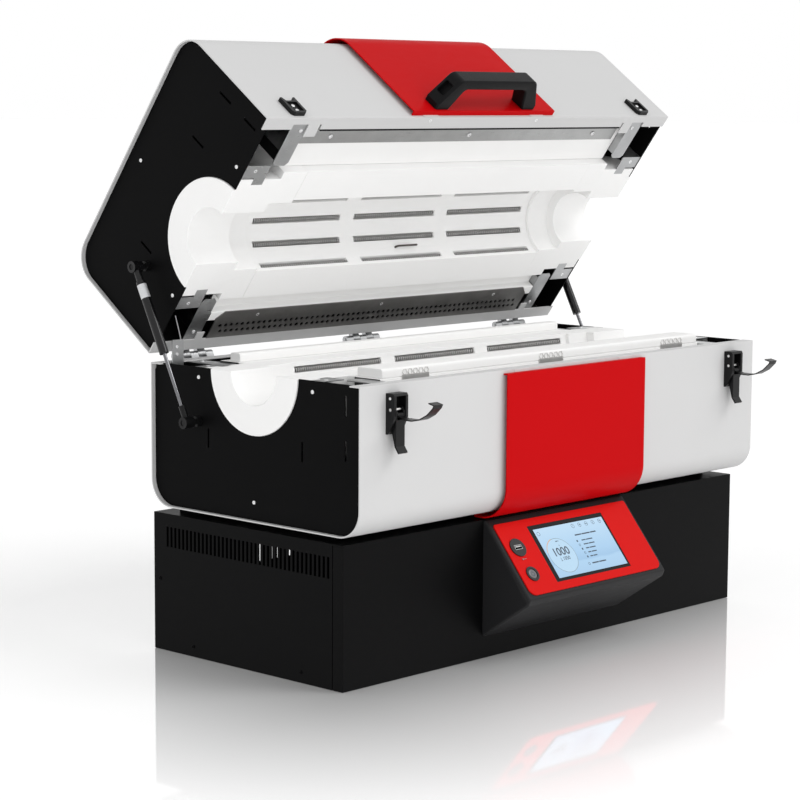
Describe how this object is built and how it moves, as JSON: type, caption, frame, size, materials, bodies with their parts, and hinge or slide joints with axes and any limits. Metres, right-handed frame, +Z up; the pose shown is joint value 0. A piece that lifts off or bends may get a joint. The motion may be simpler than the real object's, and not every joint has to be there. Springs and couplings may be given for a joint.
{
  "type": "tube furnace",
  "caption": "Split tube furnace on a control base, its lid hinged at the back over a round heated chamber, with draw latches, gas struts and a touch display.",
  "frame": {"origin": "centre of the base's underside, straight below the middle of the work tube's axis, on the surface that the furnace stands on", "axes": "+X to the right along the work tube, +Y to the back, +Z up; the controls and latches face -Y"},
  "size_m": [0.896, 0.6274, 0.843],
  "materials": {
    "black_steel": "black satin powder coat",
    "zinc": "zinc plated",
    "heater_fibre": "matt white vacuum-formed fibre",
    "element": "oxidised resistance wire",
    "hinge_steel": "zinc plated",
    "fibre_board": "matt white ceramic fibre board",
    "red_steel": "red satin powder coat",
    "shell": "light grey powder coat",
    "stud_steel": "bright steel",
    "vestibule_fibre": "matt white vacuum-formed fibre",
    "red_fascia": "red satin",
    "pod": "black satin",
    "board": "green board",
    "screen": "lit touch screen",
    "latch_steel": "black coated steel",
    "latch_plastic": "black",
    "stainless": "stainless",
    "guard": "dark satin",
    "handle_plastic": "black moulded nylon",
    "gland_plastic": "black nylon",
    "button_plastic": "black",
    "tube_black": "gloss black",
    "rod_steel": "polished rod",
    "port_plastic": "black",
    "sheath": "oxidised sheath",
    "sink": "extruded"
  },
  "bodies": {
    "case": {"base_chassis": "black_steel", "base_cover": "black_steel", "base_front_panel": "black_steel", "base_spacers": "black_steel", "body_corner_straps": "zinc", "body_end_plate_left": "black_steel", "body_end_plate_right": "black_steel", "body_heater_left": "heater_fibre", "body_heater_middle": "heater_fibre", "body_heater_right": "heater_fibre", "body_heating_coils": "element", "body_hinge_leaves": "hinge_steel", "body_insulation": "fibre_board", "body_red_panel": "red_steel", "body_ring_clips": "zinc", "body_seal_rails": "fibre_board", "body_shell": "shell", "body_strut_studs": "stud_steel", "body_vestibules": "vestibule_fibre", "control_fascia": "red_fascia", "control_pod": "pod", "controller_board": "board", "display_panel": "screen", "hinge_pins": "hinge_steel", "latch_housing_left": "latch_plastic", "latch_housing_right": "latch_plastic", "latch_pins": "stud_steel", "mains_gland": "gland_plastic", "spring_combs": "stainless", "switch_bezel": "port_plastic", "thyristor_heat_sink": "sink", "usb_port": "port_plastic"},
    "lid": {"lid_corner_straps": "zinc", "lid_end_plate_left": "black_steel", "lid_end_plate_right": "black_steel", "lid_front_strip": "stainless", "lid_guard_strip": "guard", "lid_handle": "handle_plastic", "lid_heater_left": "heater_fibre", "lid_heater_middle": "heater_fibre", "lid_heater_right": "heater_fibre", "lid_heating_coils": "element", "lid_hinge_leaves": "hinge_steel", "lid_insulation": "fibre_board", "lid_red_panel": "red_steel", "lid_ring_clips": "zinc", "lid_shell": "shell", "lid_strut_studs": "stud_steel", "lid_vestibules": "vestibule_fibre", "thermocouple": "sheath", "latch_keepers": "latch_steel"},
    "rod_left": {"strut_rod_left": "rod_steel"},
    "cylinder_left": {"strut_cylinder_left": "tube_black"},
    "lever_left": {"latch_lever_left": "latch_steel"},
    "hook_left": {"latch_hook_left": "latch_steel"},
    "rod_right": {"strut_rod_right": "rod_steel"},
    "cylinder_right": {"strut_cylinder_right": "tube_black"},
    "lever_right": {"latch_lever_right": "latch_steel"},
    "hook_right": {"latch_hook_right": "latch_steel"},
    "button": {"standby_button": "button_plastic"}
  },
  "joints": [
    {"name": "lid_hinge", "type": "hinge", "parent": "case", "child": "lid", "pos_m": [0, 0.212, 0.402], "axis": [1, 0, 0], "range_deg": [0, 53.7], "stiffness_Nm_per_rad": 45, "springref_deg": -14.32},
    {"name": "strut_rod_swing_left", "type": "hinge", "parent": "case", "child": "rod_left", "pos_m": [-0.44, 0.109, 0.326], "axis": [1, 0, 0], "range_deg": [-0.05, 27]},
    {"name": "strut_cylinder_swing_left", "type": "hinge", "parent": "lid", "child": "cylinder_left", "pos_m": [-0.44, 0.21227, 0.53], "axis": [1, 0, 0], "range_deg": [-27, 0.05]},
    {"name": "strut_rod_swing_right", "type": "hinge", "parent": "case", "child": "rod_right", "pos_m": [0.44, 0.109, 0.326], "axis": [1, 0, 0], "range_deg": [-0.05, 27]},
    {"name": "strut_cylinder_swing_right", "type": "hinge", "parent": "lid", "child": "cylinder_right", "pos_m": [0.44, 0.21227, 0.53], "axis": [1, 0, 0], "range_deg": [-27, 0.05]},
    {"name": "latch_lever_swing_left", "type": "hinge", "parent": "case", "child": "lever_left", "pos_m": [-0.365, -0.208, 0.367], "axis": [-1, 0, 0], "range_deg": [0, 65]},
    {"name": "latch_hook_swing_left", "type": "hinge", "parent": "lever_left", "child": "hook_left", "pos_m": [-0.365, -0.211, 0.36], "axis": [1, 0, 0], "range_deg": [-75, 0]},
    {"name": "latch_lever_swing_right", "type": "hinge", "parent": "case", "child": "lever_right", "pos_m": [0.365, -0.208, 0.367], "axis": [-1, 0, 0], "range_deg": [0, 65]},
    {"name": "latch_hook_swing_right", "type": "hinge", "parent": "lever_right", "child": "hook_right", "pos_m": [0.365, -0.211, 0.36], "axis": [1, 0, 0], "range_deg": [-75, 0]},
    {"name": "standby_press", "type": "slide", "parent": "case", "child": "button", "axis": [0, 0.7749, -0.632], "range_m": [0, 0.002], "stiffness_N_per_m": 400}
  ],
  "couplings": [
    {"joint": "strut_rod_swing_left", "follows": "lid_hinge", "ratio": 0.5},
    {"joint": "strut_cylinder_swing_left", "follows": "lid_hinge", "ratio": -0.5},
    {"joint": "strut_rod_swing_right", "follows": "lid_hinge", "ratio": 0.5},
    {"joint": "strut_cylinder_swing_right", "follows": "lid_hinge", "ratio": -0.5}
  ]
}
